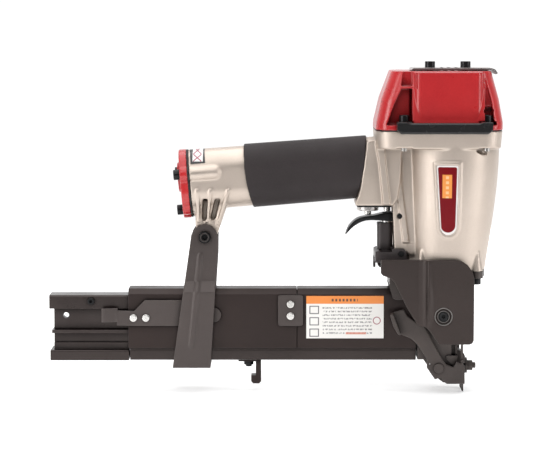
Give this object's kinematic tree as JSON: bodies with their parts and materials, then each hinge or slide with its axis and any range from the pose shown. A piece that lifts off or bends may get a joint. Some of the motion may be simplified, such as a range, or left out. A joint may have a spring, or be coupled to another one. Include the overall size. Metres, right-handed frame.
{
  "type": "pneumatic floor stapler",
  "caption": "Air-powered heavy-wire stapler: red-capped head, long handle with rubber grip, strap-braced magazine and sprung contact foot.",
  "frame": {"origin": "the point where a staple enters the work: driver axis in the plane of the work surface, 2 mm below the nose tip", "axes": "-Z along the driver's stroke into the work, +X from the magazine's tail toward the nose, +Y to the tool's left seen from behind"},
  "size_m": [0.377, 0.104, 0.277],
  "materials": {
    "cast_body": "satin champagne-silver paint on die-cast metal",
    "red_paint": "gloss red paint on die-cast metal",
    "badge": "printed maroon badge with a white border",
    "gasket": "black gasket sheet",
    "bright_steel": "zinc-plated",
    "black_oxide": "black oxide",
    "guard_plastic": "black moulded, slightly glossy",
    "white_plastic": "natural acetal",
    "seal_rubber": "moulded",
    "spring_steel": "drawn spring steel",
    "turned_aluminium": "turned and anodised",
    "grip_rubber": "matte, fine grain",
    "sticker": "printed film",
    "black_steel": "blackened steel",
    "black_paint": "satin black coating on sheet steel"
  },
  "bodies": {
    "tool_body": {"main_body": "cast_body", "name_badge": "badge", "cylinder_cap": "red_paint", "cap_gasket": "gasket", "exhaust_deflector": "bright_steel", "side_guard_left": "guard_plastic", "side_guard_right": "guard_plastic", "head_screws": "black_oxide", "head_valve_spring": "spring_steel", "cylinder_sleeve": "turned_aluminium", "cylinder_orings": "seal_rubber", "bumper": "seal_rubber", "grip_sleeve": "grip_rubber", "end_cap": "red_paint", "end_cap_gasket": "gasket", "end_cap_screws": "black_oxide", "handle_sticker": "sticker", "leg_pins": "black_oxide", "valve_plate": "gasket", "trigger_valve_body": "bright_steel", "trigger_valve_spring": "spring_steel", "safety_bushings": "bright_steel", "safety_housing": "guard_plastic", "safety_spring": "spring_steel", "nose_body": "black_steel", "nose_screws": "black_oxide", "front_plate": "black_steel", "clamp_yoke": "black_steel", "clamp_stud": "black_oxide", "clamp_nut": "black_oxide", "nose_cover_left": "black_paint", "nose_cover_right": "black_paint", "nose_cover_screws": "black_oxide", "magazine_front_housing": "black_paint", "magazine_rear_housing": "black_paint", "lower_rail": "black_paint", "splice_plates": "black_paint", "magazine_rivets": "bright_steel", "label_plate": "sticker", "latch_leaf": "black_steel", "support_strap": "black_paint", "strap_screws": "black_oxide", "base_screws": "black_oxide", "rest_hook": "black_paint"},
    "head_valve": {"head_valve_piston": "white_plastic", "head_valve_oring": "seal_rubber"},
    "driver": {"drive_piston": "turned_aluminium", "piston_oring": "seal_rubber", "driver_blade": "spring_steel"},
    "trigger": {"trigger_lever": "black_steel"},
    "valve_stem": {"trigger_valve_stem": "bright_steel"},
    "safety_slide": {"safety_arm": "black_steel", "trip_rod": "bright_steel", "contact_yoke": "black_steel", "yoke_pin": "black_oxide"},
    "drawer": {"drawer_core": "black_paint", "drawer_foot": "black_paint", "drawer_stop_screw": "black_oxide"},
    "pusher_body": {"pusher": "black_steel"}
  },
  "joints": [
    {"name": "trigger_hinge", "type": "hinge", "parent": "tool_body", "child": "trigger", "pos_m": [-0.0429, 0, 0.1435], "axis": [0, 1, 0], "range_deg": [0, 6], "stiffness_Nm_per_rad": 0.6, "springref_deg": -14.32},
    {"name": "valve_stem_slide", "type": "slide", "parent": "tool_body", "child": "valve_stem", "axis": [0, 0, 1], "range_m": [0, 0.003], "deforming": ["trigger_valve_spring"]},
    {"name": "safety_slide_joint", "type": "slide", "parent": "tool_body", "child": "safety_slide", "axis": [0, 0, 1], "range_m": [0, 0.004], "stiffness_N_per_m": 900, "springref_m": -0.012, "deforming": ["safety_spring"]},
    {"name": "driver_stroke", "type": "slide", "parent": "tool_body", "child": "driver", "axis": [0, 0, -1], "range_m": [0, 0.084]},
    {"name": "head_valve_slide", "type": "slide", "parent": "tool_body", "child": "head_valve", "axis": [0, 0, 1], "range_m": [0, 0.004], "stiffness_N_per_m": 1500, "springref_m": -0.008, "deforming": ["head_valve_spring"]},
    {"name": "drawer_slide", "type": "slide", "parent": "tool_body", "child": "drawer", "axis": [-1, 0, 0], "range_m": [0, 0.2]},
    {"name": "pusher_slide", "type": "slide", "parent": "drawer", "child": "pusher_body", "axis": [-1, 0, 0], "range_m": [0, 0.17], "stiffness_N_per_m": 12, "springref_m": -0.25}
  ],
  "couplings": [
    {"joint": "valve_stem_slide", "follows": "trigger_hinge", "m_per_rad": 0.0261}
  ]
}
